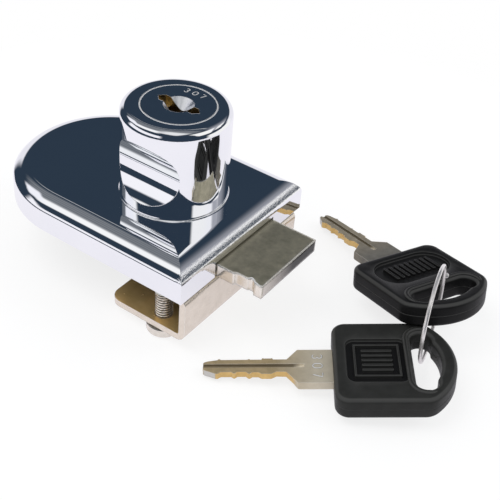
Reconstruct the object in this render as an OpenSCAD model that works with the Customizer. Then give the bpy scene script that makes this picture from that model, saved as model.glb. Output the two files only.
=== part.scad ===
// Glass cabinet door lock: a die-cast D plate with a turning cylinder, a sliding bolt,
// a sheet clamp for the edge of a glass door, and two keys on a wire ring.
// Millimetres. The origin lies on the glass face under the cylinder's axis, +Z runs out of
// the glass along that axis, +X is the way the bolt comes out.

/* [Plate] */
// Width of the D plate along its straight edge
plate_width = 46; // [44:0.5:52]
// From the cylinder's axis to the straight face that the bolt comes out of
face_x = 19.9; // [19:0.1:24]
// From the cylinder's axis back to the centre of the round end
round_x = 19.2; // [17:0.1:23]
// Height of the plate at its flat top
plate_thick = 8.2; // [7.8:0.1:9.4]
// From the plate's side in to where its flat top begins
crown_inset = 5; // [4:0.1:5.6]
// How far the top falls from its flat to the edge's small round
crown_drop = 1.6; // [1.2:0.1:2]
// Radius of the edge's small round
edge_round = 1.9; // [1.4:0.1:2.2]
// Side wall of the hollow casting
cast_wall = 2.4; // [2.2:0.1:2.8]
// Top wall of the hollow casting
cast_roof = 1.9; // [1.6:0.1:2]

/* [Knob] */
// Diameter of the fixed knob around the cylinder
knob_d = 24.7; // [24:0.1:27]
// From the cylinder's axis to the knob's own axis
knob_x = -0.5; // [-0.8:0.1:0]
// Height of the knob above the plate
knob_height = 22.3; // [22:0.1:27]
// Radius of the knob's top rim
knob_rim = 2.2; // [1:0.1:2.6]
// Radius of the fillet at the knob's foot
foot_round = 0.5; // [0.3:0.1:0.8]
// Radius of the finger scoop
scoop_r = 9.8; // [8:0.1:9.8]
// Depth of the finger scoop
scoop_depth = 3.3; // [2:0.1:3.4]
// Height of the scoop's middle above the plate
scoop_level = 10.05; // [10:0.05:11]

/* [Cylinder] */
// Diameter of the plug's round face
plug_face_d = 16.4; // [16:0.1:17]
// Thickness of the plug's face flange
plug_flange = 3; // [2.5:0.1:3.5]
// Diameter of the plug's body
plug_d = 14; // [13.6:0.1:14.4]
// Radial running clearance of the plug
plug_clear = 0.07; // [0.05:0.01:0.1]
// Width of the groove seen around the plug's face
face_groove = 0.35; // [0.2:0.05:0.5]
// Width of the keyway
keyway_wide = 2.5; // [2.4:0.1:2.8]
// Length of the keyway across the body
keyway_long = 6.8; // [6.4:0.1:7.4]
// Length of the keyway's mouth in the face
mouth_long = 11.4; // [10:0.2:11.6]
// Depth of the mouth
mouth_deep = 2.4; // [1.5:0.1:2.6]
// Depth of the keyway
keyway_deep = 20.4; // [19:0.1:20.8]
// Diameter of the round recess at the middle of the face
eye_d = 6.8; // [6:0.1:7]
// Depth of that recess
eye_deep = 2.2; // [1.6:0.1:2.4]
// Thickness of one wafer
wafer_thick = 1; // [0.8:0.05:1.1]
// Distance from one wafer to the next
wafer_pitch = 2.6; // [2.2:0.1:2.6]
// Width of one wafer
wafer_wide = 5.2; // [4.8:0.1:5.4]
// Free space above and below a wafer
wafer_clear = 0.1; // [0.05:0.01:0.15]
// Outward travel of a wafer
wafer_travel = 0.7; // [0.5:0.05:0.7]
// Radius of a wafer spring
spring_r = 0.45; // [0.35:0.05:0.5]

/* [Bolt] */
// Width of the bolt
bolt_wide = 21.4; // [18:0.2:22]
// Thickness of the bolt
bolt_thick = 3.3; // [3:0.05:3.5]
// How far the thrown bolt stands out of the straight face
bolt_out = 11.9; // [10.5:0.1:16]
// Free space around the bolt
bolt_clear = 0.15; // [0.1:0.01:0.2]
// Gap around the bolt where it leaves the plate
bolt_gap = 0.45; // [0.3:0.05:0.6]
// Radius of the circle that the drive pin moves on
throw_r = 7; // [6.6:0.05:7.1]
// Radius of the drive pin
pin_r = 1.6; // [1.3:0.05:1.7]
// Free space around the drive pin in the bolt
pin_clear = 0.35; // [0.3:0.01:0.4]
// Radius of the cam disc
cam_r = 9.2; // [8.8:0.1:9.6]

/* [Clamp] */
// Thickness of the bracket's sheet steel
sheet = 1.6; // [1.5:0.1:1.8]
// How far the bracket stands in from the plate's sides
bracket_inset = 1.65; // [1:0.05:2.2]
// Clear height of the slot for the glass
slot_height = 8.1; // [7:0.1:9]
// Length of the lower leaf from the straight face
leaf_length = 21.5; // [20:0.1:24]
// Outer radius of the bends
bend_r = 2.2; // [1.9:0.1:2.6]
// Radius of the lower leaf's corners
leaf_corner = 3; // [1.5:0.1:4]
// Thickness of the glass pads
pad_thick = 0.8; // [0.7:0.05:1]
// Diameter of the clamp screws
clamp_d = 4; // [3.5:0.1:5]
// Diameter of the clamp screws' heads
clamp_head_d = 8; // [7.4:0.1:8.4]
// Height of the clamp screws' heads
clamp_head = 2.6; // [2:0.1:3]
// From the straight face to the clamp screws
clamp_x = 8.5; // [8:0.1:11]
// From a side of the leaf to its clamp screw
clamp_y = 3.6; // [3.4:0.1:6]
// Gap between a clamp screw's head and the leaf
head_gap = 0.4; // [0.3:0.05:1]
// Diameter of the nylon tips
tip_d = 4.4; // [4:0.1:4.8]
// Height of the nylon tips above the screws' ends
tip_high = 1; // [0.8:0.1:1.4]
// Radius of the nylon tips' pins
tip_pin = 1; // [0.8:0.05:1.2]
// Gap between the tips and the front pad
tip_gap = 0.5; // [0.3:0.05:1]

/* [Keys] */
// Length of the cut blade up to the shoulder
blade_long = 20.2; // [19:0.1:20.8]
// Width of the blade over its highest cuts
blade_wide = 5.2; // [4.8:0.1:5.8]
// Thickness of the blade
blade_thick = 2.2; // [1.8:0.05:2.3]
// Width of the tang between blade and head
tang_wide = 10.2; // [8.6:0.1:11]
// Length of the tang that shows
tang_long = 7.55; // [7:0.05:8]
// Width of the plastic head
head_wide = 24.4; // [24:0.2:24.8]
// Length of the plastic head
head_long = 26.2; // [26:0.1:27]
// Thickness of the plastic head
head_thick = 5.5; // [5:0.1:5.6]
// Radius of the head's arched far end
head_arch = 15; // [14.6:0.1:15.4]
// Radius of the head's near corners
head_corner = 3; // [2:0.1:4]
// Radius where the head's sides turn into its arched end
head_turn = 4; // [3:0.1:5]
// Width of the rim beyond the ring slot
head_rim = 3.3; // [3:0.1:3.6]
// Width of the slot for the ring
eye_wide = 4.6; // [4.6:0.1:5]
// Length of the slot for the ring
eye_long = 17.2; // [17:0.1:18]
// From the head's near edge to the middle of the slot
eye_at = 19.25; // [19:0.05:19.5]
// Radius of the ring's wire
wire_r = 0.6; // [0.5:0.01:0.62]
// Radius of the ring at the middle of its wire
ring_r = 10.72; // [10.7:0.01:10.74]
// Depth of the recessed panels
panel_deep = 0.5; // [0.3:0.05:0.7]
// Side of the first key's square panel
square_panel = 13.2; // [12:0.1:13.4]
// From the head's near edge to the middle of the square panel
square_at = 9.3; // [9:0.1:9.6]
// Corner radius of the square panel
square_corner = 2; // [1:0.1:3]
// Length of the second key's oval panel across the head
oval_long = 19; // [18:0.1:20]
// Width of the oval panel
oval_wide = 8.4; // [8:0.1:9]
// From the head's near edge to the middle of the oval panel
oval_at = 7.4; // [7:0.1:7.8]
// Corner radius of the oval panel
oval_corner = 4.1; // [3:0.1:4.1]

/* [Layout] */
// Middle of the first key's ring slot along the bolt's way
key_1_x = 65.852; // [65.8:0.001:65.9]
// The same place across the bolt's way
key_1_y = 2.42; // [2.4:0.001:2.44]
// The same place above the table
key_1_rise = 6.006; // [6:0.001:6.02]
// Middle of the second key's ring slot along the bolt's way
key_2_x = 60.558; // [60.5:0.001:60.6]
// The same place across the bolt's way
key_2_y = 20.641; // [20.6:0.001:20.68]
// The same place above the table
key_2_rise = 10.608; // [10.6:0.001:10.62]
// Middle of the ring along the bolt's way
ring_x = 61.883; // [61.85:0.001:61.9]
// The same place across the bolt's way
ring_y = 11.714; // [11.7:0.001:11.73]
// The same place above the table
ring_rise = 12.905; // [12.9:0.001:12.91]

/* [Hidden] */
$fn = 96;

// Heights above the glass
leaf_top = pad_thick + sheet;
plate_top = leaf_top + plate_thick;
knob_top = plate_top + knob_height;
ceiling = plate_top - cast_roof;
bolt_base = leaf_top + bolt_clear;
bolt_top = bolt_base + bolt_thick;
cam_base = bolt_top + bolt_clear;
cam_top = ceiling - 0.2;
lower_top = -slot_height;
lower_base = lower_top - sheet;
head_top = lower_base - head_gap;
table = head_top - clamp_head;
tip_top = -tip_gap;
tip_base = tip_top - tip_high;
screw_end = tip_base - 0.05;

// Radii
half_wide = plate_width / 2;
plug_r = plug_d / 2;
bore_r = plug_r + plug_clear;
face_r = plug_face_d / 2;
wafer_r = plug_r - 0.1;
groove_r = wafer_r + wafer_travel + 0.25;
screw_x = face_x - clamp_x;
screw_y = half_wide - bracket_inset - clamp_y;
screw_clear = 0.05;
cap_r = 1.45;
hold_points = [[-6, half_wide - 6], [-6, 6 - half_wide], [9.5 - round_x - half_wide, 0]];
rest_turn = 45;
dowel_r = 0.8;
dowel_at = 4.8;
rib = 1.5;
eps = 0.5;
beyond = 2 * plate_width;

// Rounded top edge: a small round at the side and a wide one up to the flat
crown_run = crown_inset - edge_round;
crown_r = edge_round + (crown_run * crown_run + crown_drop * crown_drop) / (2 * crown_drop);
side_high = plate_thick - crown_drop - edge_round;

// Colours
chrome = [0.80, 0.81, 0.84];
nickel = [0.70, 0.67, 0.61];
brass = [0.78, 0.62, 0.30];
black = [0.07, 0.07, 0.08];
rubber = [0.22, 0.22, 0.23];
nylon = [0.90, 0.89, 0.84];
steel = [0.62, 0.62, 0.63];

function wafer_z(i) = knob_top - 7 - (i - 1) * wafer_pitch;

// Flat outline of the D, taken in from its sides, up to a given front
module d_shape(inset, front) {
    intersection() {
        translate([-round_x, 0])
            circle(r = half_wide - inset);
        translate([-round_x - half_wide, -half_wide])
            square([half_wide + eps, plate_width]);
    }
    translate([-round_x, -half_wide + inset])
        square([round_x + front, plate_width - 2 * inset]);
}

// Upright section of a rounded edge at a given distance, with a given length of flat top behind it
module edge_section(reach, flat) {
    small = [reach - edge_round, side_high];
    wide = [reach - crown_inset, plate_thick - crown_r];
    lean = 3 * crown_r * (small - wide) / norm(small - wide);
    translate([reach - crown_inset - flat, 0]) {
        square([flat, plate_thick]);
        square([flat + crown_inset, side_high]);
    }
    translate(small)
        circle(r = edge_round);
    intersection() {
        translate(wide)
            circle(r = crown_r);
        polygon([wide, wide + [0, 3 * crown_r], wide + [lean[0], 3 * crown_r], wide + lean]);
    }
}

// Half of the plate's upright section, from its middle to its side
module half_section() {
    edge_section(half_wide, half_wide - crown_inset);
}

// Upright section along the bolt, with the rounded straight edge
module front_section() {
    edge_section(face_x, face_x - crown_inset + beyond);
}

// The plate as a full block with its rounded top edge and mitred front corners
module plate_block() {
    translate([0, 0, leaf_top])
        intersection() {
            union() {
                translate([-round_x, 0, 0])
                    rotate([0, 0, 90])
                        rotate_extrude(angle = 180)
                            half_section();
                translate([-round_x, 0, 0])
                    rotate([90, 0, 90])
                        linear_extrude(height = round_x + face_x + 5) {
                            half_section();
                            mirror([1, 0])
                                half_section();
                        }
            }
            translate([0, beyond, 0])
                rotate([90, 0, 0])
                    linear_extrude(height = 2 * beyond)
                        front_section();
        }
}

// The knob with its rounded rim and the fillet at its foot
module knob_block() {
    translate([knob_x, 0, plate_top - eps])
        rotate_extrude() {
            square([knob_d / 2 - knob_rim, knob_height + eps]);
            square([knob_d / 2, knob_height + eps - knob_rim]);
            translate([knob_d / 2 - knob_rim, knob_height + eps - knob_rim])
                circle(r = knob_rim);
            difference() {
                square([knob_d / 2 + foot_round, eps + foot_round]);
                translate([knob_d / 2 + foot_round, eps + foot_round])
                    circle(r = foot_round);
            }
        }
}

module scoop() {
    translate([knob_x - knob_d, -knob_d / 2 + scoop_depth - scoop_r, plate_top + scoop_level])
        rotate([0, 90, 0])
            cylinder(r = scoop_r, h = 2 * knob_d);
}

// The hollow underside, with the bolt's two guides and the screw bosses left standing
module hollow() {
    difference() {
        translate([0, 0, leaf_top - eps])
            linear_extrude(height = ceiling - leaf_top + eps)
                d_shape(cast_wall, face_x - cast_wall);
        for (side = [-1, 1])
            translate([-round_x - 3.4, side * (bolt_wide / 2 + bolt_clear + rib / 2) - rib / 2, leaf_top - eps])
                cube([round_x + 3.4 + face_x, rib, bolt_top + bolt_clear - leaf_top + eps]);
        for (p = hold_points)
            translate([p[0], p[1], leaf_top - eps])
                cylinder(r = 3.2, h = plate_thick);
    }
}

module housing() {
    color(chrome)
        difference() {
            union() {
                plate_block();
                knob_block();
            }
            hollow();
            scoop();
            mirror([0, 1, 0])
                scoop();
            translate([0, 0, ceiling - eps])
                cylinder(r = bore_r, h = knob_top);
            translate([0, 0, knob_top - plug_flange - 0.1])
                cylinder(r = face_r + plug_clear, h = plug_flange + eps);
            translate([0, 0, knob_top - 0.5])
                cylinder(r = face_r + face_groove, h = eps + 0.5);
            for (turn = [0, 90])
                rotate([0, 0, turn])
                    translate([-groove_r, -wafer_wide / 2 - 0.3, wafer_z(5) - 1.2])
                        cube([2 * groove_r, wafer_wide + 0.6, wafer_z(1) - wafer_z(5) + 2.4]);
            translate([face_x - cast_wall - eps, -bolt_wide / 2 - bolt_gap, leaf_top - eps])
                cube([cast_wall + 2 * eps, bolt_wide + 2 * bolt_gap, bolt_top + bolt_gap - leaf_top + eps]);
            for (p = hold_points)
                translate([p[0], p[1], leaf_top - eps])
                    cylinder(r = cap_r + screw_clear, h = 4.6 + eps);
        }
}

// Side section of the bent sheet: wall, two bends and the leaves
module u_section() {
    difference() {
        translate([face_x - leaf_length, lower_base]) {
            square([leaf_length - bend_r, leaf_top - lower_base]);
            translate([0, bend_r])
                square([leaf_length, leaf_top - lower_base - 2 * bend_r]);
            for (up = [bend_r, leaf_top - lower_base - bend_r])
                translate([leaf_length - bend_r, up])
                    circle(r = bend_r);
        }
        translate([face_x - leaf_length - 1, lower_top]) {
            square([leaf_length + 1 - bend_r, slot_height + pad_thick]);
            translate([0, bend_r - sheet])
                square([leaf_length + 1 - sheet, slot_height + pad_thick - 2 * (bend_r - sheet)]);
            for (up = [bend_r - sheet, slot_height + pad_thick - bend_r + sheet])
                translate([leaf_length + 1 - bend_r, up])
                    circle(r = bend_r - sheet);
        }
    }
}

// Plan of the lower leaf with its two rounded corners
module leaf_plan() {
    reach = half_wide - bracket_inset;
    translate([face_x - leaf_length + leaf_corner, -reach])
        square([leaf_length, 2 * reach]);
    translate([face_x - leaf_length, -reach + leaf_corner])
        square([leaf_length, 2 * reach - 2 * leaf_corner]);
    for (side = [-1, 1])
        translate([face_x - leaf_length + leaf_corner, side * (reach - leaf_corner)])
            circle(r = leaf_corner);
}

module clamp_bracket() {
    color(nickel)
        difference() {
            union() {
                intersection() {
                    translate([0, beyond, 0])
                        rotate([90, 0, 0])
                            linear_extrude(height = 2 * beyond)
                                u_section();
                    translate([0, 0, lower_base - 1])
                        linear_extrude(height = leaf_top - lower_base + 2)
                            leaf_plan();
                }
                translate([0, 0, pad_thick])
                    linear_extrude(height = sheet)
                        d_shape(bracket_inset, face_x - bend_r);
            }
            for (side = [-1, 1])
                translate([screw_x, side * screw_y, lower_base - 1])
                    cylinder(r = clamp_d / 2 + screw_clear, h = sheet + 2);
            for (p = hold_points)
                translate([p[0], p[1], pad_thick]) {
                    translate([0, 0, -eps])
                        cylinder(r = cap_r + 0.1, h = sheet + 2 * eps);
                    cylinder(r1 = 2.9, r2 = cap_r + 0.1, h = sheet - 0.2);
                }
        }
}

module bracket_screws() {
    color(steel)
        for (p = hold_points)
            translate([p[0], p[1], pad_thick]) {
                cylinder(r1 = 2.8, r2 = cap_r, h = sheet - 0.2);
                cylinder(r = cap_r, h = sheet + 4.2);
            }
}

module rear_glass_pad() {
    color(rubber)
        difference() {
            linear_extrude(height = pad_thick)
                d_shape(bracket_inset + 2, 0.6);
            for (p = hold_points)
                translate([p[0], p[1], -1])
                    cylinder(r = 4, h = pad_thick + 2);
        }
}

module front_glass_pad() {
    color(rubber)
        translate([2, -half_wide + bracket_inset + 2, 0])
            cube([face_x - 5, plate_width - 2 * bracket_inset - 4, pad_thick]);
}

// Opening for one wafer in the plug, with the pocket for its spring
module wafer_room(i) {
    translate([-plug_d, -wafer_wide / 2 - 0.1, wafer_z(i) - wafer_thick / 2 - wafer_clear])
        cube([2 * plug_d, wafer_wide + 0.2, wafer_thick + 2 * wafer_clear]);
    mirror([(i % 2 == 0) ? 1 : 0, 0, 0])
        translate([-2.4, 0, wafer_z(i) - wafer_thick / 2 - wafer_clear])
            cube([5.5 + wafer_travel, wafer_wide / 2 + 1.5, wafer_thick + 2 * wafer_clear]);
}

module plug() {
    color(brass)
        difference() {
            union() {
                translate([0, 0, cam_top])
                    cylinder(r = plug_r, h = knob_top - plug_flange - cam_top + 0.1);
                translate([0, 0, knob_top - plug_flange])
                    cylinder(r = face_r, h = plug_flange);
                for (side = [-1, 1])
                    rotate([0, 0, rest_turn + 90 * side])
                        translate([dowel_at, 0, cam_base + 0.1])
                            cylinder(r = dowel_r, h = cam_top - cam_base + eps);
            }
            translate([-keyway_long / 2, -keyway_wide / 2, knob_top - keyway_deep])
                cube([keyway_long, keyway_wide, keyway_deep + 1]);
            translate([0, 0, knob_top - mouth_deep])
                linear_extrude(height = mouth_deep + 1)
                    polygon([
                        [-mouth_long / 2, 0], [-mouth_long / 2 + 1.2, -keyway_wide / 2],
                        [mouth_long / 2 - 1.2, -keyway_wide / 2], [mouth_long / 2, 0],
                        [mouth_long / 2 - 1.2, keyway_wide / 2], [-mouth_long / 2 + 1.2, keyway_wide / 2]
                    ]);
            translate([0, 0, knob_top - eye_deep])
                cylinder(r1 = eye_d / 2 - eye_deep, r2 = eye_d / 2 + eps, h = eye_deep + eps);
            translate([0, 0, cam_top - eps])
                cylinder(r = cap_r + screw_clear, h = 3.2 + eps);
            for (i = [1 : 5])
                wafer_room(i);
        }
}

// One wafer with its window for the key and the tab that its spring pushes
module wafer(i) {
    color(brass)
        translate([0, 0, wafer_z(i) - wafer_thick / 2])
            mirror([(i % 2 == 0) ? 1 : 0, 0, 0])
                difference() {
                    union() {
                        intersection() {
                            translate([-plug_d, -wafer_wide / 2, 0])
                                cube([2 * plug_d, wafer_wide, wafer_thick]);
                            translate([0, 0, -1])
                                cylinder(r = wafer_r, h = wafer_thick + 2);
                        }
                        translate([2.1, 0, 0])
                            cube([0.8, wafer_wide / 2 + 1.3, wafer_thick]);
                    }
                    translate([-keyway_long / 2 - 0.9, -keyway_wide / 2 - 0.05, -1])
                        cube([keyway_long + 1.8, keyway_wide + 0.1, wafer_thick + 2]);
                }
}

module wafer_1() {
    wafer(1);
}

module wafer_2() {
    wafer(2);
}

module wafer_3() {
    wafer(3);
}

module wafer_4() {
    wafer(4);
}

module wafer_5() {
    wafer(5);
}

module wafer_springs() {
    color(steel)
        for (i = [1 : 5])
            mirror([(i % 2 == 0) ? 1 : 0, 0, 0])
                translate([-2.4, wafer_wide / 2 + 0.75, wafer_z(i)])
                    rotate([0, 90, 0])
                        cylinder(r = spring_r, h = 4.45);
}

module drive_cam() {
    color(steel)
        difference() {
            union() {
                translate([0, 0, cam_base])
                    cylinder(r = cam_r, h = cam_top - cam_base);
                rotate([0, 0, rest_turn])
                    translate([throw_r, 0, bolt_base + 0.2])
                        cylinder(r = pin_r, h = cam_base - bolt_base);
            }
            for (side = [-1, 1])
                rotate([0, 0, rest_turn + 90 * side])
                    translate([dowel_at, 0, cam_base - 1])
                        cylinder(r = dowel_r + screw_clear, h = cam_top - cam_base + 2);
            translate([0, 0, cam_base - 1])
                cylinder(r = cap_r + 0.1, h = cam_top - cam_base + 2);
            translate([0, 0, cam_base])
                cylinder(r1 = 2.7, r2 = cap_r + 0.1, h = 1.1);
        }
}

module cam_screw() {
    color(steel)
        translate([0, 0, cam_base]) {
            cylinder(r1 = 2.6, r2 = cap_r, h = 1.1);
            cylinder(r = cap_r, h = cam_top - cam_base + 3);
        }
}

module bolt() {
    pin_x = throw_r * cos(rest_turn);
    dip = 0.5;
    bite = 1.1;
    color(nickel)
        difference() {
            translate([-9, -bolt_wide / 2, bolt_base])
                cube([9 + face_x + bolt_out, bolt_wide, bolt_thick]);
            translate([pin_x - pin_r - pin_clear, pin_x - pin_r - 0.45, bolt_base - 1])
                cube([2 * (pin_r + pin_clear), throw_r - pin_x + 2 * pin_r + 0.85, bolt_thick + 2]);
            translate([face_x + 0.4 * bolt_out, -bolt_wide / 2 - 1, bolt_base - 1])
                cube([0.34 * bolt_out, 1 + dip, bolt_thick + 2]);
            translate([face_x + 0.74 * bolt_out, -bolt_wide / 2 - 0.2, bolt_base - 1])
                cylinder(r = bite, h = bolt_thick + 2);
        }
}

// Pan head with a cross recess, shank and end, standing upright with its head down
module clamp_screw() {
    color(nickel)
        difference() {
            union() {
                translate([0, 0, head_top])
                    cylinder(r = clamp_d / 2, h = screw_end - head_top);
                translate([0, 0, table])
                    rotate_extrude() {
                        translate([0, 1])
                            square([clamp_head_d / 2, clamp_head - 1]);
                        square([clamp_head_d / 2 - 1, clamp_head]);
                        translate([clamp_head_d / 2 - 1, 1])
                            circle(r = 1);
                    }
            }
            for (turn = [0, 90])
                rotate([0, 0, turn])
                    translate([-clamp_head_d * 0.28, -0.45, table - 1])
                        cube([clamp_head_d * 0.56, 0.9, 2.2]);
            translate([0, 0, screw_end - 2])
                cylinder(r = tip_pin + screw_clear, h = 3);
        }
}

module screw_tip() {
    color(nylon) {
        translate([0, 0, tip_base])
            cylinder(r = tip_d / 2, h = tip_high);
        translate([0, 0, screw_end - 1.8])
            cylinder(r = tip_pin, h = tip_base - screw_end + 2.3);
    }
}

module clamp_screw_front() {
    translate([screw_x, -screw_y, 0])
        clamp_screw();
}

module clamp_screw_rear() {
    translate([screw_x, screw_y, 0])
        clamp_screw();
}

module screw_tip_front() {
    translate([screw_x, -screw_y, 0])
        screw_tip();
}

module screw_tip_rear() {
    translate([screw_x, screw_y, 0])
        screw_tip();
}

// Where the two keys lie: blade tip on the table, head propped on the ring or on the other key.
// A key is held at the middle of its ring slot, so that it stays on the ring.
module place_key(spot, lean) {
    translate(spot)
        rotate(lean)
            translate([-(blade_long + tang_long + eye_at), 0, 0])
                children();
}

module place_key_1() {
    place_key([key_1_x, key_1_y, table + key_1_rise], [-1.795, -5.959, 33.849])
        children();
}

module place_key_2() {
    place_key([key_2_x, key_2_y, table + key_2_rise], [-2.57, -11.239, -23.879])
        children();
}

// Flat outline of a key's metal, tip at zero, with sloped cuts of given depths on both edges
module blade_outline(high_cuts, low_cuts) {
    top = blade_wide / 2;
    wing = tang_wide / 2;
    step = (blade_long - 5) / len(high_cuts);
    end = blade_long + tang_long + 12;
    difference() {
        polygon([
            [0, -1.1], [0.5, -0.72 * top], [1.5, -top], [blade_long - 2.4, -top], [blade_long, -wing],
            [end, -wing], [end, wing],
            [blade_long, wing], [blade_long - 2.4, top], [1.5, top], [0.5, 0.72 * top], [0, 1.1]
        ]);
        for (i = [0 : len(high_cuts) - 1])
            translate([2.4 + i * step, 0]) {
                polygon([
                    [0, top + 0.4], [1, top - high_cuts[i]], [step - 0.9, top - high_cuts[i]], [step, top + 0.4]
                ]);
                polygon([
                    [0, -top - 0.4], [1, low_cuts[i] - top], [step - 0.9, low_cuts[i] - top], [step, -top - 0.4]
                ]);
            }
    }
}

module key_blade() {
    color(nickel)
        difference() {
            translate([0, 0, -blade_thick / 2])
                linear_extrude(height = blade_thick)
                    blade_outline([0.3, 0.5, 0.25, 0.5, 0.3], [0.75, 0.45, 0.85, 0.4, 0.8]);
            for (side = [-1, 1])
                translate([-1, -0.7, side * blade_thick / 2 - 0.45])
                    cube([blade_long + 2.4, 1.4, 0.9]);
        }
}

// Flat outline of a key's plastic head with the slot for the ring, near edge at zero
module head_outline() {
    half = head_wide / 2;
    arch_x = head_long - head_arch;
    turn_y = half - head_turn;
    turn_x = sqrt(pow(head_arch - head_turn, 2) - turn_y * turn_y);
    far = 2.5 * head_arch / (head_arch - head_turn);
    difference() {
        union() {
            translate([head_corner, -half])
                square([arch_x + turn_x - head_corner, head_wide]);
            translate([0, -half + head_corner])
                square([arch_x + turn_x, head_wide - 2 * head_corner]);
            for (side = [-1, 1]) {
                translate([head_corner, side * (half - head_corner)])
                    circle(r = head_corner);
                translate([arch_x + turn_x, side * turn_y])
                    circle(r = head_turn);
            }
            translate([arch_x, 0])
                intersection() {
                    circle(r = head_arch);
                    polygon([[0, 0], [far * turn_x, -far * turn_y], [far * turn_x, far * turn_y]]);
                }
        }
        translate([eye_at - eye_wide / 2, -eye_long / 2 + eye_wide / 2])
            square([eye_wide, eye_long - eye_wide]);
        for (side = [-1, 1])
            translate([eye_at, side * (eye_long / 2 - eye_wide / 2)])
                circle(r = eye_wide / 2);
        intersection() {
            translate([arch_x, 0])
                circle(r = head_arch - head_rim);
            translate([eye_at, -eye_long / 2 + eye_wide / 2])
                square([eye_wide, eye_long - eye_wide]);
        }
    }
}

module key_head(panel_long, panel_wide, panel_corner, panel_at) {
    color(black)
        translate([blade_long + tang_long, 0, 0])
            difference() {
                translate([0, 0, -head_thick / 2])
                    linear_extrude(height = head_thick)
                        head_outline();
                translate([-1, -tang_wide / 2 - 0.05, -blade_thick / 2 - 0.05])
                    cube([13.1, tang_wide + 0.1, blade_thick + 0.1]);
                translate([panel_at, 0, head_thick / 2 - panel_deep]) {
                    translate([-panel_long / 2 + panel_corner, -panel_wide / 2, 0])
                        cube([panel_long - 2 * panel_corner, panel_wide, 1]);
                    translate([-panel_long / 2, -panel_wide / 2 + panel_corner, 0])
                        cube([panel_long, panel_wide - 2 * panel_corner, 1]);
                    for (a = [-1, 1])
                        for (b = [-1, 1])
                            translate([a * (panel_long / 2 - panel_corner), b * (panel_wide / 2 - panel_corner), 0])
                                cylinder(r = panel_corner, h = 1);
                }
            }
}

module key_1_blade() {
    place_key_1()
        key_blade();
}

module key_1_head() {
    place_key_1()
        key_head(square_panel, square_panel, square_corner, square_at);
}

module key_2_blade() {
    place_key_2()
        key_blade();
}

module key_2_head() {
    place_key_2()
        key_head(oval_wide, oval_long, oval_corner, oval_at);
}

module key_ring() {
    color(steel)
        translate([ring_x, ring_y, table + ring_rise])
            rotate([0, 86.761, 14.448])
                rotate_extrude()
                    translate([ring_r, 0])
                        circle(r = wire_r);
}

housing();
clamp_bracket();
bracket_screws();
rear_glass_pad();
front_glass_pad();
plug();
wafer_1();
wafer_2();
wafer_3();
wafer_4();
wafer_5();
wafer_springs();
drive_cam();
cam_screw();
bolt();
clamp_screw_front();
clamp_screw_rear();
screw_tip_front();
screw_tip_rear();
key_1_blade();
key_1_head();
key_2_blade();
key_2_head();
key_ring();
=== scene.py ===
import math

import bmesh
import bpy
from mathutils import Euler, Matrix, Vector


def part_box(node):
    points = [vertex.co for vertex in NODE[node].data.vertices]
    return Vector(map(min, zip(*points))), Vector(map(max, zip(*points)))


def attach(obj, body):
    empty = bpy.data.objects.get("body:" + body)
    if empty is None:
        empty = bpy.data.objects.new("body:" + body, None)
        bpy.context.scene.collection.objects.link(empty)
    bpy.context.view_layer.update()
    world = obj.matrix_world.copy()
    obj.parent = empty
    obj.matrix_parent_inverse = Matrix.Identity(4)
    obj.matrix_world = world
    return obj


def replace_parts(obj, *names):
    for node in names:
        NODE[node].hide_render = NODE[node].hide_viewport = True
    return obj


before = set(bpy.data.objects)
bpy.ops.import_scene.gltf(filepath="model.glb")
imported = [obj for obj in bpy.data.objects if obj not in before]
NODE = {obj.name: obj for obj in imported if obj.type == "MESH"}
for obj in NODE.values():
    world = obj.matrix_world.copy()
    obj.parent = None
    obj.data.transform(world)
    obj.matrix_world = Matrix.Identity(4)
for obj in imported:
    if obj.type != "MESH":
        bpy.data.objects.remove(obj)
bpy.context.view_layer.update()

MM = 0.001
TO_METRES = Matrix.Scale(MM, 4)
UP = (0, 0, 1)
WHITE = (1.0, 1.0, 1.0)

# Sizes of the lock and its keys, in millimetres, as the solids have them
KNOB_TOP = 32.9
TABLE = -12.7
SCREW_X = 11.4
SCREW_Y = 17.75
HEAD_TOP = -10.1
SCREW_END = -1.55
TIP_BORE = 1.1
BLADE_HALF = 1.0
HEAD_NEAR = 27.75
HEAD_HALF = 2.75
RING_R = 10.72
RING_CENTRE = Vector((61.883, 11.714, TABLE + 12.905))
RING_TURN = Euler((0, math.radians(86.761), math.radians(14.448)), "XYZ").to_matrix()


def key_matrix(x, y, rise, roll, pitch, yaw):
    """From a key's own frame in millimetres, tip at zero, to the row frame in metres."""
    turn = Euler([math.radians(angle) for angle in (roll, pitch, yaw)], "XYZ").to_matrix()
    return TO_METRES @ Matrix.Translation((x, y, TABLE + rise)) @ turn.to_4x4()


KEY_1 = key_matrix(27.029, -23.618, 1.127, -1.795, -5.959, 33.849)
KEY_2 = key_matrix(18.405, 39.302, 1.448, -2.57, -11.239, -23.879)


def key_up(matrix):
    """The way the upper face of a key looks."""
    return matrix.col[2].to_3d().normalized()


# Node helpers

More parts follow.
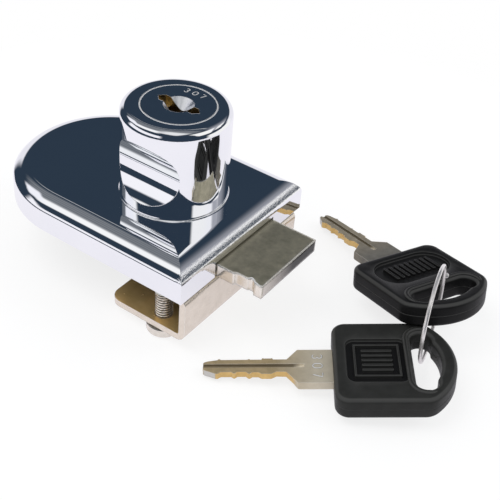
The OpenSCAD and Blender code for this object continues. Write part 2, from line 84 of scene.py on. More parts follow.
class Tree:
    """A thin layer over a node tree, so that a material reads from top to bottom."""

    def __init__(self, tree):
        self.tree = tree
        tree.nodes.clear()

    def add(self, kind, **settings):
        node = self.tree.nodes.new(kind)
        for name, value in settings.items():
            setattr(node, name, value)
        return node

    def link(self, out, into):
        self.tree.links.new(out, into)

    def math(self, operation, a, b=None):
        node = self.add("ShaderNodeMath", operation=operation)
        for socket, value in zip(node.inputs, (a, b)):
            if value is None:
                continue
            if isinstance(value, (int, float)):
                socket.default_value = value
            else:
                self.link(value, socket)
        return node.outputs[0]

    def times(self, a, b):
        return self.math("MULTIPLY", a, b)

    def size(self, value):
        return self.math("ABSOLUTE", value)

    def mix(self, factor, a, b):
        node = self.add("ShaderNodeMix", data_type="RGBA")
        for socket, value in ((node.inputs[0], factor), (node.inputs[6], a), (node.inputs[7], b)):
            if isinstance(value, tuple):
                socket.default_value = (*value, 1.0)
            else:
                self.link(value, socket)
        return node.outputs[2]

    def dot(self, out, vector):
        node = self.add("ShaderNodeVectorMath", operation="DOT_PRODUCT")
        self.link(out, node.inputs[0])
        node.inputs[1].default_value = vector
        return node.outputs["Value"]

    def level(self, x, y):
        """A level vector from two coordinates."""
        node = self.add("ShaderNodeCombineXYZ")
        self.link(x, node.inputs[0])
        self.link(y, node.inputs[1])
        return node.outputs[0]

    def radius(self, x, y):
        """Distance from an upright axis."""
        node = self.add("ShaderNodeVectorMath", operation="LENGTH")
        self.link(self.level(x, y), node.inputs[0])
        return node.outputs["Value"]

    def place(self):
        """Object coordinates in millimetres."""
        where = self.add("ShaderNodeTexCoord")
        scale = self.add("ShaderNodeMapping")
        scale.inputs["Scale"].default_value = [1 / MM] * 3
        self.link(where.outputs["Object"], scale.inputs["Vector"])
        return scale.outputs[0]

    def split(self, vector):
        """The three coordinates of a vector."""
        node = self.add("ShaderNodeSeparateXYZ")
        self.link(vector, node.inputs[0])
        return tuple(node.outputs)

    def local(self, matrix, axis):
        """One coordinate in a key's own frame, in millimetres."""
        row = tuple(matrix.inverted()[axis])
        where = self.add("ShaderNodeTexCoord")
        return self.math("ADD", self.dot(where.outputs["Object"], row[:3]), row[3])

    def facing(self, direction):
        """How far the surface looks in a direction, from -1 to 1."""
        where = self.add("ShaderNodeTexCoord")
        return self.dot(where.outputs["Normal"], direction)

    def noise(self, scale, detail=3.0, rough=0.5):
        """Noise of a given number of waves to the millimetre."""
        node = self.add("ShaderNodeTexNoise")
        node.inputs["Scale"].default_value = scale
        node.inputs["Detail"].default_value = detail
        node.inputs["Roughness"].default_value = rough
        self.link(self.place(), node.inputs["Vector"])
        return node.outputs["Fac"]

    def ramp(self, value, low, high, to_low=0.0, to_high=1.0, smooth=False):
        node = self.add("ShaderNodeMapRange")
        if smooth:
            node.interpolation_type = "SMOOTHSTEP"
        node.inputs["From Min"].default_value = low
        node.inputs["From Max"].default_value = high
        node.inputs["To Min"].default_value = to_low
        node.inputs["To Max"].default_value = to_high
        self.link(value, node.inputs["Value"])
        return node.outputs[0]

    def mottle(self, scale, detail=4.0, rough=0.5):
        """Soft patches between two close tones."""
        return self.ramp(self.noise(scale, detail, rough), 0.3, 0.7)

    def gloss(self, scale, low, high, rough=0.5):
        """An uneven roughness between two values."""
        return self.ramp(self.noise(scale, rough=rough), 0.25, 0.75, low, high)

    def soft_edge(self, radius):
        node = self.add("ShaderNodeBevel", samples=8)
        node.inputs["Radius"].default_value = radius * MM
        return node.outputs[0]

    def worn(self, soft, reach=0.99):
        """How near a place is to a softened edge, where the plate is rubbed bright."""
        flat = self.add("ShaderNodeNewGeometry")
        node = self.add("ShaderNodeVectorMath", operation="DOT_PRODUCT")
        self.link(soft, node.inputs[0])
        self.link(flat.outputs["Normal"], node.inputs[1])
        return self.ramp(node.outputs["Value"], reach - 0.19, reach, 1.0, 0.0)

    def bump(self, height, strength, distance, normal):
        node = self.add("ShaderNodeBump")
        node.inputs["Strength"].default_value = strength
        node.inputs["Distance"].default_value = distance * MM
        self.link(height, node.inputs["Height"])
        self.link(normal, node.inputs["Normal"])
        return node.outputs[0]


def surface(name):
    """A new material with its principled shader, wired to the output."""
    material = bpy.data.materials.new(name)
    material.use_nodes = True
    tree = Tree(material.node_tree)
    out = tree.add("ShaderNodeOutputMaterial")
    shader = tree.add("ShaderNodeBsdfPrincipled")
    tree.link(shader.outputs[0], out.inputs["Surface"])
    return material, tree, shader


def metal(name, light, dark, rough, grain, metallic=1.0):
    """Plain plated metal: two close tones and an uneven gloss."""
    material, tree, shader = surface(name)
    tree.link(tree.mix(tree.mottle(grain, rough=0.55), light, dark), shader.inputs["Base Color"])
    tree.link(tree.gloss(grain * 2.3, *rough, rough=0.6), shader.inputs["Roughness"])
    shader.inputs["Metallic"].default_value = metallic
    return material


# Painted tones of the key heads: a painted highlight along the rounded edges, and painted shade on the
# floor of the sunk panels
EDGE_HIGHLIGHT_PAINT = (0.066, 0.066, 0.064)
PANEL_SHADE_PAINT = (0.010, 0.010, 0.0102)


def plastic(name, light, dark, rough, grain=0.25, matrix=None):
    """Moulded plastic or rubber with a fine spark-eroded grain; a matrix marks it as a key's head, with
    a painted highlight on the rounded edges and painted shade in the sunk panel.
    """
    material, tree, shader = surface(name)
    colour = tree.mix(tree.mottle(0.35, rough=0.6), light, dark)
    if matrix:
        slope = tree.facing(key_up(matrix))
        low = tree.ramp(tree.local(matrix, 2), HEAD_HALF - 0.2, HEAD_HALF - 0.45)
        # Painted shade on the floor of the sunk panel.
        sunk = tree.times(low, tree.ramp(slope, 0.90, 0.97))
        colour = tree.mix(sunk, colour, PANEL_SHADE_PAINT)
        # Painted highlight along the rounded edges.
        tilted = tree.ramp(slope, 0.985, 0.90, 0.0, 0.8)
        rounded = tree.times(tree.ramp(slope, 0.30, 0.60), tilted)
        colour = tree.mix(rounded, colour, EDGE_HIGHLIGHT_PAINT)
    tree.link(colour, shader.inputs["Base Color"])
    uneven = tree.ramp(tree.noise(5.0, 3.0, 0.7), 0.3, 0.7, *rough)
    tree.link(uneven, shader.inputs["Roughness"])
    shader.inputs["Specular IOR Level"].default_value = 0.12
    normal = tree.bump(tree.noise(6.0, 2.0, 0.6), grain, 0.05, tree.soft_edge(0.2))
    tree.link(normal, shader.inputs["Normal"])
    return material


# Places along a blade, in millimetres from its tip, each as a soft step, and tones of its plate
CUTS_BEGIN = (2.6, 2.9)
CUTS_END = (19.1, 19.9)
GROOVE_END = (19.2, 20.9)
WEAR_END = (15.0, 24.0)
GROOVE_DARK = (0.16, 0.125, 0.07)
GROOVE_BRIGHT = (0.92, 0.84, 0.68)
TIP_NICKEL = (0.64, 0.62, 0.58)
RUBBED_KEY = (0.92, 0.88, 0.78)


def key_metal(name, matrix, bright_tones, used_tones):
    """Nickel-plated brass: the milled cuts along the blade's edges show the bare brass."""
    material, tree, shader = surface(name)
    along = tree.local(matrix, 0)
    beside = tree.size(tree.local(matrix, 1))
    height = tree.size(tree.local(matrix, 2))
    upright = tree.math("LESS_THAN", tree.size(tree.facing(key_up(matrix))), 0.5)
    side = tree.times(upright, tree.math("GREATER_THAN", beside, 1.1))
    begun = tree.ramp(along, *CUTS_BEGIN)
    tone = tree.mottle(0.5, rough=0.6)
    bright = tree.mix(tone, *bright_tones)
    used = tree.mix(tone, *used_tones)
    soft = tree.soft_edge(0.18)
    plate = tree.mix(tree.ramp(along, *WEAR_END), used, bright)
    plate = tree.mix(tree.worn(soft), plate, RUBBED_KEY)
    deep = tree.ramp(height, BLADE_HALF - 0.05, BLADE_HALF - 0.2)
    groove = tree.times(deep, tree.ramp(beside, 0.72, 0.70))
    groove_tone = tree.mix(tree.ramp(along, *GROOVE_END), GROOVE_DARK, GROOVE_BRIGHT)
    plate = tree.mix(tree.times(groove, 0.75), plate, groove_tone)
    tip = tree.times(side, tree.math("SUBTRACT", 1.0, begun))
    plate = tree.mix(tip, plate, TIP_NICKEL)
    brass = tree.mix(tone, (0.84, 0.58, 0.23), (0.70, 0.46, 0.16))
    cut_part = tree.times(begun, tree.ramp(along, *reversed(CUTS_END)))
    tree.link(tree.mix(tree.times(side, cut_part), plate, brass), shader.inputs["Base Color"])
    tree.link(tree.gloss(1.4, 0.36, 0.46), shader.inputs["Roughness"])
    shader.inputs["Metallic"].default_value = 0.42
    tree.link(soft, shader.inputs["Normal"])
    return material


def plug_metal():
    """Brass plug whose face and round recess are chromed; the walls of the keyway stay bare."""
    material, tree, shader = surface("plug_metal")
    x, y, z = tree.split(tree.place())
    around = tree.radius(x, y)
    high = tree.ramp(z, KNOB_TOP - 2.5, KNOB_TOP - 2.4)
    rim = tree.ramp(around, 7.6, 7.7)
    facing = tree.ramp(tree.facing(UP), 0.25, 0.35)
    chromed = tree.times(high, tree.math("MAXIMUM", facing, rim))
    tone = tree.mottle(0.8)
    bare = tree.mix(tone, (0.72, 0.55, 0.27), (0.50, 0.36, 0.15))
    plated = tree.mix(tone, (0.92, 0.93, 0.95), (0.88, 0.89, 0.92))
    tree.link(tree.mix(chromed, bare, plated), shader.inputs["Base Color"])
    dish = tree.ramp(around, 3.5, 3.6, 0.32, 0.05)
    rough = tree.math("MAXIMUM", tree.ramp(chromed, 0, 1, 0.30, 0.0), dish)
    tree.link(rough, shader.inputs["Roughness"])
    shader.inputs["Metallic"].default_value = 1.0
    tree.link(tree.soft_edge(0.12), shader.inputs["Normal"])
    return material


def chrome_plate():
    """Polished chrome over a casting: faint waves, and fine pits along the straight front edge."""
    material, tree, shader = surface("chrome")
    tone = tree.mottle(0.05, rough=0.55)
    chrome = tree.mix(tone, (0.93, 0.94, 0.96), (0.89, 0.90, 0.93))
    tree.link(chrome, shader.inputs["Base Color"])
    tree.link(tree.gloss(0.12, 0.015, 0.04), shader.inputs["Roughness"])
    shader.inputs["Metallic"].default_value = 1.0
    x, _, z = tree.split(tree.place())
    front_edge = tree.times(tree.ramp(x, 17.9, 18.9), tree.ramp(z, 7.4, 8.0))
    pits = tree.times(tree.noise(2.2, 3.0, 0.65), front_edge)
    waves = tree.bump(tree.noise(0.35, 3.0, 0.6), 0.05, 0.03, tree.soft_edge(0.15))
    tree.link(tree.bump(pits, 0.5, 0.12, waves), shader.inputs["Normal"])
    return material


def bolt_metal():
    """Satin nickel: a mottled dull top, brighter sheared sides, an end painted darker towards +Y as a
    painted reflection, and rubbed edges.
    """
    material, tree, shader = surface("bolt_nickel")
    _, y, _ = tree.split(tree.place())
    flat = tree.ramp(tree.size(tree.facing(UP)), 0.5, 0.7)
    end = tree.ramp(tree.facing((1, 0, 0)), 0.6, 0.8)
    tone = tree.mottle(0.45, 6.0, 0.68)
    top = tree.mix(tone, (0.63, 0.58, 0.43), (0.40, 0.37, 0.27))
    sheared = tree.mix(tone, (0.90, 0.84, 0.76), (0.80, 0.73, 0.64))
    # Painted reflection: the end face is painted darker towards +Y.
    painted_end_reflection = tree.times(end, tree.ramp(y, -11.0, 1.5, 0.2, 1.0))
    sides = tree.mix(painted_end_reflection, sheared, (0.022, 0.022, 0.018))
    soft = tree.soft_edge(1.0)
    rubbed = tree.worn(soft, 0.998)
    colour = tree.mix(rubbed, tree.mix(flat, sides, top), (0.95, 0.92, 0.86))
    tree.link(colour, shader.inputs["Base Color"])
    dull = tree.times(flat, tree.ramp(rubbed, 0.0, 0.5, 1.0, 0.0))
    satin = tree.ramp(dull, 0.0, 1.0, 0.12, 0.42)
    rough = tree.math("ADD", satin, tree.gloss(1.2, 0.0, 0.08))
    tree.link(rough, shader.inputs["Roughness"])
    shader.inputs["Metallic"].default_value = 0.82
    normal = tree.bump(tree.noise(4.0, 4.0, 0.65), 0.18, 0.02, soft)
    tree.link(normal, shader.inputs["Normal"])
    return material


def bracket_metal():
    """Nickel-plated sheet, with a golden film on the inside of the lower leaf."""
    material, tree, shader = surface("bracket_nickel")
    _, _, z = tree.split(tree.place())
    facing = tree.ramp(tree.facing(UP), 0.6, 0.8)
    inside = tree.times(facing, tree.ramp(z, -7.6, -7.8))
    tone = tree.mottle(0.4, rough=0.55)
    plate = tree.mix(tone, (0.86, 0.78, 0.68), (0.78, 0.70, 0.60))
    film = tree.mix(tone, (0.93, 0.66, 0.29), (0.80, 0.56, 0.23))
    soft = tree.soft_edge(0.28)
    colour = tree.mix(tree.worn(soft), tree.mix(inside, plate, film), (0.94, 0.90, 0.84))
    tree.link(colour, shader.inputs["Base Color"])
    tree.link(tree.gloss(0.9, 0.20, 0.28), shader.inputs["Roughness"])
    tree.link(tree.ramp(inside, 0.0, 1.0, 0.8, 0.66), shader.inputs["Metallic"])
    normal = tree.bump(tree.noise(5.0, 3.0, 0.6), 0.08, 0.02, soft)
    tree.link(normal, shader.inputs["Normal"])
    return material


def screw_metal():
    """Nickel-plated screws, darker in the grooves of their threads."""
    material, tree, shader = surface("screw_nickel")
    x, y, z = tree.split(tree.place())
    from_x = tree.math("SUBTRACT", x, SCREW_X)
    from_y = tree.math("SUBTRACT", tree.size(y), SCREW_Y)
    shank = tree.ramp(z, HEAD_TOP + 0.05, HEAD_TOP + 0.1)
    groove = tree.times(shank, tree.ramp(tree.radius(from_x, from_y), 1.88, 1.7))
    tone = tree.mottle(0.8, rough=0.55)
    plate = tree.mix(tone, (0.86, 0.81, 0.73), (0.76, 0.71, 0.63))
    tree.link(tree.mix(groove, plate, (0.07, 0.055, 0.035)), shader.inputs["Base Color"])
    tree.link(tree.gloss(1.8, 0.14, 0.24), shader.inputs["Roughness"])
    shader.inputs["Metallic"].default_value = 0.85
    return material


CHROME = chrome_plate()
SCREW = screw_metal()
STEEL = metal("steel", (0.72, 0.72, 0.73), (0.62, 0.62, 0.63), (0.15, 0.25), 0.7)
BRASS = metal("brass", (0.78, 0.60, 0.30), (0.66, 0.48, 0.20), (0.2, 0.32), 0.8)
WIRE = metal("wire", (0.90, 0.87, 0.85), (0.84, 0.81, 0.79), (0.26, 0.32), 0.15, 0.75)
# A pale, mostly matt metal: a painted glint on the digits' ridges, the bolt's burr and the plug's rolled
# edge.
PAINTED_GLINT = metal("painted_glint", (0.80, 0.80, 0.79), (0.66, 0.66, 0.65), (0.4, 0.5), 1.5, 0.25)
# Dark metal for strokes beside the stamped digits: a painted shadow.
PAINTED_STAMP_SHADOW = metal("painted_stamp_shadow", (0.20, 0.18, 0.14), (0.14, 0.12, 0.09), (0.4, 0.5), 1.5, 0.3)
HEAD_ROUGH = (0.36, 0.46)
BLACK = plastic(
    "black_plastic", (0.006, 0.006, 0.0062), (0.010, 0.010, 0.0102), HEAD_ROUGH, matrix=KEY_2)
# Head 1 gets a paler copy of the same black plastic: painted light, as more light falls on it.
BLACK_PAINTED_LIT = plastic(
    "black_plastic_painted_lit", (0.023, 0.0235, 0.022), (0.031, 0.0315, 0.030), HEAD_ROUGH, matrix=KEY_1)
RUBBER = plastic("rubber", (0.05, 0.05, 0.052), (0.08, 0.08, 0.082), (0.6, 0.75))
NYLON = plastic("nylon", (0.80, 0.79, 0.73), (0.72, 0.71, 0.66), (0.4, 0.5), 0.1)


def dress(material, *nodes):
    """The carried-over solids get a material."""
    for node in nodes:
        mesh = NODE[node].data
        mesh.materials.clear()
        mesh.materials.append(material)


dress(CHROME, "housing")
dress(plug_metal(), "plug")
dress(bolt_metal(), "bolt")
dress(bracket_metal(), "clamp_bracket")
dress(BRASS, "wafer_1", "wafer_2", "wafer_3", "wafer_4", "wafer_5")
dress(STEEL, "wafer_springs", "drive_cam", "cam_screw", "bracket_screws")
dress(RUBBER, "rear_glass_pad", "front_glass_pad")
dress(NYLON, "screw_tip_front", "screw_tip_rear")


# Mesh helpers

SHARP = math.radians(38)


def piece(name, mesh, material, body, matrix):
    """A new object from a finished mesh in millimetres, riding on a body."""
    bmesh.ops.transform(mesh, matrix=matrix, verts=mesh.verts)
    bmesh.ops.recalc_face_normals(mesh, faces=mesh.faces)
    data = bpy.data.meshes.new(name)
    mesh.to_mesh(data)
    mesh.free()
    data.materials.append(material)
    for face in data.polygons:
        face.use_smooth = True
    data.set_sharp_from_angle(angle=SHARP)
    made = bpy.data.objects.new(name, data)
    bpy.context.scene.collection.objects.link(made)
    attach(made, body)
    return made


def ring_of(mesh, points):
    return [mesh.verts.new(point) for point in points]


def bridge(mesh, low, high):
    """Quads between two closed rings of the same count."""
    count = len(low)
    for i in range(count):
        k = (i + 1) % count
        mesh.faces.new((low[i], low[k], high[k], high[i]))


def loft(mesh, rings):
    """Quads from each ring of a list to the next."""
    for low, high in zip(rings, rings[1:]):
        bridge(mesh, low, high)


def turns(count):
    """Angles of even steps round a full turn."""
    return [2 * math.pi * i / count for i in range(count)]


def polar(radius, angle, height):
    return (radius * math.cos(angle), radius * math.sin(angle), height)


def torus(mesh, middle, thick, height, steps, sides):
    """A closed round wire about the upright axis, by its middle radius and its thickness."""
    rows = []
    for around in turns(steps):
        row = []
        for angle in turns(sides):
            radius = middle + thick * math.cos(angle)
            row.append(polar(radius, around, height + thick * math.sin(angle)))
        rows.append(ring_of(mesh, row))
    loft(mesh, rows + rows[:1])


def arc(centre, radius, start, end, steps):
    """Points of an arc from one angle to another, in degrees, both ends included."""
    made = []
    for i in range(steps + 1):
        angle = math.radians(start + (end - start) * i / steps)
        made.append((centre[0] + radius * math.cos(angle), centre[1] + radius * math.sin(angle)))
    return made


def clean(points, apart=0.02):
    """The same closed outline without doubled points."""
    kept = []
    for point in points:
        if not kept or math.dist(point, kept[-1]) > apart:
            kept.append(point)
    if math.dist(kept[0], kept[-1]) <= apart:
        kept.pop()
    return kept


def shifted(points, amount):
    """A closed outline, counter-clockwise, moved inward by an amount."""
    count = len(points)
    made = []
    for i, (x, y) in enumerate(points):
        before = points[i - 1]
        after = points[(i + 1) % count]
        tangent = Vector((after[0] - before[0], after[1] - before[1])).normalized()
        made.append((x - tangent.y * amount, y + tangent.x * amount))
    return made


def rounded_box(long, wide, corner, middle):
    """A rectangle with round corners about a point, counter-clockwise."""
    half_long = long / 2 - corner
    half_wide = wide / 2 - corner
    points = []
    for a, b, start in ((1, -1, -90), (1, 1, 0), (-1, 1, 90), (-1, -1, 180)):
        spot = (middle[0] + a * half_long, middle[1] + b * half_wide)
        points += arc(spot, corner, start, start + 90, 10)
    return clean(points)


def bar(mesh, outline, base, top, soft):
    """A low raised form with a softened upper edge."""
    rings = [ring_of(mesh, [(x, y, base) for x, y in outline])]
    for step in range(4):
        angle = math.pi / 2 * step / 3
        edge = shifted(outline, soft * (1 - math.cos(angle)))
        height = top - soft + soft * math.sin(angle)
        rings.append(ring_of(mesh, [(x, y, height) for x, y in edge]))
    loft(mesh, rings)
    mesh.faces.new(rings[-1])


def bead(mesh, path, radius, sides=10):
    """A round bead along a path of points, thinner towards its closed ends."""
    rings = []
    last = len(path) - 1
    for i, point in enumerate(path):
        before = Vector(path[max(i - 1, 0)])
        after = Vector(path[min(i + 1, last)])
        along = (after - before).normalized()
        across = along.cross(Vector(UP)).normalized()
        rise = across.cross(along)
        fade = min(1.0, 0.35 + 0.65 * min(i, last - i) / 3)
        ring = []
        for angle in turns(sides):
            offset = across * math.cos(angle) + rise * math.sin(angle)
            ring.append(Vector(point) + offset * radius * fade)
        rings.append(ring_of(mesh, ring))
    loft(mesh, rings)
    mesh.faces.new(rings[0])
    mesh.faces.new(rings[-1])


# Plastic heads of the keys
HEAD_EDGE = 1.1
PANEL_DEEP = 0.75
BOW = (HEAD_NEAR + 11.2, 0)
CORNER_X = HEAD_NEAR + 18.532
SLOT_X = HEAD_NEAR + 19.25
SLOT_Y = 6.3
LIP_R = 3.5


def head_outline():
    """Outer edge of a head, counter-clockwise."""
    points = arc((HEAD_NEAR + 3, -9.2), 3, 180, 270, 12)
    points += arc((CORNER_X, -8.2), 4, 270, 311.8, 10)
    points += arc(BOW, 15, -48.2, 48.2, 40)
    points += arc((CORNER_X, 8.2), 4, 48.2, 90, 10)
    points += arc((HEAD_NEAR + 3, 9.2), 3, 90, 180, 12)
    return clean(points)


def slot_outline():
    """Edge of the ring's slot, counter-clockwise."""
    points = arc((SLOT_X, -SLOT_Y), 2.3, 180, 360, 20)
    points += arc(BOW, 11.7, -27.8, 27.8, 24)
    points += arc((SLOT_X, SLOT_Y), 2.3, 0, 180, 20)
    return clean(points)


def close_face(mesh, rings):
    """A flat face inside the first ring, open where the others lie."""
    edges = []
    for ring in rings:
        for i in range(len(ring)):
            pair = (ring[i], ring[(i + 1) % len(ring)])
            edges.append(mesh.edges.get(pair) or mesh.edges.new(pair))
    bmesh.ops.triangle_fill(mesh, use_beauty=True, edges=edges)


def key_head(name, body, node, matrix, material, panel, marks):
    """A moulded head: soft edges, a parting line, a sunk panel with plain ribs and a lip by the slot."""
    mesh = bmesh.new()
    levels = [(0.0, 0.12), (0.1, 0.0)]
    for step in range(7):
        angle = math.pi / 2 * step / 6
        height = HEAD_HALF - HEAD_EDGE + HEAD_EDGE * math.sin(angle)
        levels.append((height, HEAD_EDGE * (1 - math.cos(angle))))
    full = [(-height, inset) for height, inset in reversed(levels[1:])] + levels
    low_face = []
    high_face = []
    for outline, sign in ((head_outline(), 1), (slot_outline(), -1)):
        rings = []
        for height, inset in full:
            moved = shifted(outline, sign * inset)
            rings.append(ring_of(mesh, [(x, y, height) for x, y in moved]))
        loft(mesh, rings)
        low_face.append(rings[0])
        high_face.append(rings[-1])
    wells = []
    for inset, deep in ((-0.15, 0.0), (0.0, 0.1), (0.1, PANEL_DEEP - 0.1), (0.2, PANEL_DEEP)):
        edge = shifted(panel, inset)
        wells.append(ring_of(mesh, [(x, y, HEAD_HALF - deep) for x, y in edge]))
    loft(mesh, wells)
    mesh.faces.new(wells[-1])
    close_face(mesh, low_face)
    close_face(mesh, high_face + wells[:1])
    lip = arc((SLOT_X, SLOT_Y), LIP_R, 60, 180, 14)
    lip += arc((SLOT_X, -SLOT_Y), LIP_R, 180, 300, 14)
    bead(mesh, [(x, y, HEAD_HALF - 0.22) for x, y in clean(lip)], 0.62)
    for outline in marks:
        bar(mesh, outline, HEAD_HALF - PANEL_DEEP - 0.1, HEAD_HALF - 0.05, 0.16)
    made = piece(name, mesh, material, body, matrix)
    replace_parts(made, node)


def frame_marks(middle, side, wide):
    """Four thin bars that make a square frame."""
    half = side / 2
    made = []
    for a in (-1, 1):
        made.append(rounded_box(side + wide, wide, 0.15, (middle[0], middle[1] + a * half)))
        made.append(rounded_box(wide, side - wide, 0.15, (middle[0] + a * half, middle[1])))
    return made


def rib_marks(middle, count, apart, long, wide):
    """Plain ribs side by side about a point."""
    offsets = [apart * (i - count // 2) for i in range(count)]
    return [rounded_box(long, wide, 0.3, (middle[0], middle[1] + offset)) for offset in offsets]


SQUARE = (HEAD_NEAR + 9.3, 0.0)
OVAL = (HEAD_NEAR + 8.0, 0.0)
square_panel = rounded_box(13.2, 13.2, 2.0, SQUARE)
square_marks = frame_marks(SQUARE, 9.4, 0.5) + rib_marks(SQUARE, 5, 1.45, 6.6, 0.7)
oval_panel = rounded_box(10.6, 19.4, 5.1, OVAL)
oval_marks = rib_marks(OVAL, 9, 1.5, 5.6, 0.75)
key_head("head_1", "key_1", "key_1_head", KEY_1, BLACK_PAINTED_LIT, square_panel, square_marks)
key_head("head_2", "key_2", "key_2_head", KEY_2, BLACK, oval_panel, oval_marks)


# Blades of the keys: distance from the tip and half width of both edges, and depth of what is milled
BLADE_HIGH = [
    (0, 0.9), (0.2, 1.2), (1.0, 1.55), (3.0, 1.9), (3.2, 2.2), (3.5, 2.2), (3.8, 1.95),
    (9.5, 2.0), (9.7, 2.2), (9.9, 2.2), (10.1, 2.0), (12.5, 2.0), (12.7, 2.5), (13.0, 2.35),
    (14.5, 2.35), (14.8, 2.5), (15.0, 2.05), (17.9, 2.05), (20.2, 5.05), (38.0, 5.05),
]
BLADE_LOW = [
    (0, 0.9), (0.3, 1.25), (2.8, 2.35), (3.2, 2.35), (3.9, 1.8), (6.1, 1.8), (6.6, 2.25),
    (6.9, 2.25), (7.4, 1.75), (9.2, 1.75), (9.8, 2.35), (10.1, 2.35), (10.6, 1.9), (11.9, 1.9),
    (12.6, 2.4), (14.6, 2.4), (15.8, 1.7), (17.8, 1.8), (20.2, 5.05), (38.0, 5.05),
]
GROOVE_DEPTH = [(0, 0.3), (0.5, 0.5), (21.2, 0.5), (21.8, 0.0), (40.0, 0.0)]
BACK_DEPTH = [(0, 0.5), (19.4, 0.5), (20.6, 0.0), (40.0, 0.0)]
MILLED_AT = {0.15, 19.4, 20.6, 21.2, 21.8}


def level_at(points, u):
    """Height of a broken line at a place."""
    for (a, low), (b, high) in zip(points, points[1:]):
        if a <= u <= b:
            return low + (high - low) * (u - a) / (b - a)
    return points[-1][1]


def key_blade(name, body, node, matrix, bright_tones, used_tones):
    """A blade lofted along its length: cuts on both edges, a groove on both faces, one half thinner."""
    mesh = bmesh.new()
    rows = []
    for u in sorted({u for u, _ in BLADE_HIGH + BLADE_LOW} | MILLED_AT):
        high = level_at(BLADE_HIGH, u)
        low = -level_at(BLADE_LOW, u)
        floor = BLADE_HALF - level_at(GROOVE_DEPTH, u)
        thin = BLADE_HALF - level_at(BACK_DEPTH, u)
        groove = [(-0.30, floor), (0.55, floor), (0.67, BLADE_HALF), (high, BLADE_HALF)]
        front = [(low, BLADE_HALF), (-0.42, BLADE_HALF)] + groove
        back = [(low, thin), (-0.42, thin)] + groove
        row = [(u, v, z) for v, z in front] + [(u, v, -z) for v, z in reversed(back)]
        rows.append(ring_of(mesh, row))
    loft(mesh, rows)
    mesh.faces.new(rows[0])
    mesh.faces.new(rows[-1])
    material = key_metal(name + "_metal", matrix, bright_tones, used_tones)
    made = piece(name, mesh, material, body, matrix)
    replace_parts(made, node)


pale = ((0.74, 0.67, 0.53), (0.65, 0.58, 0.45))
golden = ((0.54, 0.43, 0.26), (0.40, 0.32, 0.19))
# Key 2's tones are darker copies of key 1's: a painted reflection of a dark room on its plate.
grey_painted_dark = ((0.20, 0.19, 0.16), (0.13, 0.12, 0.10))
brown_painted_dark = ((0.36, 0.31, 0.22), (0.26, 0.22, 0.15))
key_blade("blade_1", "key_1", "key_1_blade", KEY_1, pale, golden)
key_blade("blade_2", "key_2", "key_2_blade", KEY_2, grey_painted_dark, brown_painted_dark)


# Plain numbers stamped on the plug's face and on a key
DIGITS = {
    "0": arc((0.5, 1.0), 0.5, 180, 0, 10) + arc((0.5, 0.5), 0.5, 0, -180, 10) + [(0.0, 1.0)],
    "3": arc((0.45, 1.08), 0.42, 150, -90, 10) + arc((0.45, 0.36), 0.42, 90, -150, 10)[1:],
    "7": [(0.0, 1.5), (0.5, 1.5), (0.9, 1.5), (0.62, 0.75), (0.35, 0.0)],
}
DIGIT_MIDDLE = (0.45, 0.75)


def stamp(name, body, material, matrix, spots, size, wide, proud):
    """Digits as low ridges, the edges of a stamped mark."""
    mesh = bmesh.new()
    crest = Vector((0.0, 0.0, proud))
    for digit, x, y in spots:
        path = []
        for a, b in DIGITS[digit]:
            spot = (x + (a - DIGIT_MIDDLE[0]) * size, y + (b - DIGIT_MIDDLE[1]) * size, 0.0)
            path.append(Vector(spot))
        rows = []
        for i, point in enumerate(path):
            tangent = (path[min(i + 1, len(path) - 1)] - path[max(i - 1, 0)]).normalized()
            side = Vector((-tangent.y, tangent.x, 0.0)) * wide / 2
            rows.append(ring_of(mesh, (point - side, point + crest, point + side)))
        loft(mesh, rows)
        mesh.faces.new(rows[0])
        mesh.faces.new(rows[-1])
    return piece(name, mesh, material, body, matrix)


plug_matrix = TO_METRES @ Matrix.Translation((0, 0, KNOB_TOP - 0.01))
plug_spots = (("3", -2.3, 5.9), ("0", -0.2, 6.05), ("7", 1.9, 6.1))
# The digits' pale colour is a painted glint.
stamp("plug_number", "plug_body", PAINTED_GLINT, plug_matrix, plug_spots, 1.0, 0.3, 0.03)
tang_place = Matrix.Translation((24.5, 0.0, BLADE_HALF - 0.02))
tang_matrix = KEY_1 @ tang_place @ Matrix.Rotation(math.radians(-90), 4, "Z")
tang_spots = (("3", -2.9, 0.0), ("0", -0.1, 0.0), ("7", 2.8, 0.0))
# Wider dark strokes under the digits: a painted shadow.
stamp("key_number_painted_shadow", "key_1", PAINTED_STAMP_SHADOW, tang_matrix, tang_spots, 1.35, 0.62, 0.05)
stamp("key_number", "key_1", PAINTED_GLINT, tang_matrix, tang_spots, 1.35, 0.34, 0.12)


# Clamp screws with their threads
THREAD_PITCH = 0.7
THREAD_R = 2.0
THREAD_ROOT = 1.5
BORE_DEEP = 2.0
SCREW_HEAD_R = 4.0
SCREW_HEAD_SOFT = 1.0
DRIVE_R = 1.0
SIDES = 48
PITCH_STEPS = 10


def circle(radius, height):
    return [polar(radius, angle, height) for angle in turns(SIDES)]


def cross(radius, height):
    """Outline of the cross recess in a screw's head."""
    return [
        polar(radius + 1.6 * abs(math.cos(2 * angle)) ** 12, angle, height)
        for angle in turns(SIDES)
    ]


def thread_row(height):
    """One level of a screw's shank, with the thread running out at its end."""
    fade = min(1.0, (SCREW_END - height) / 0.5)
    row = []
    for j, angle in enumerate(turns(SIDES)):
        phase = ((height - HEAD_TOP) / THREAD_PITCH - j / SIDES) % 1.0
        crest = min(1.0, max(0.0, 1.25 - 2.5 * abs(phase - 0.5)))
        radius = THREAD_ROOT + (THREAD_R - THREAD_ROOT) * crest * fade - 0.2 * (1 - fade)
        row.append(polar(radius, angle, height))
    return row


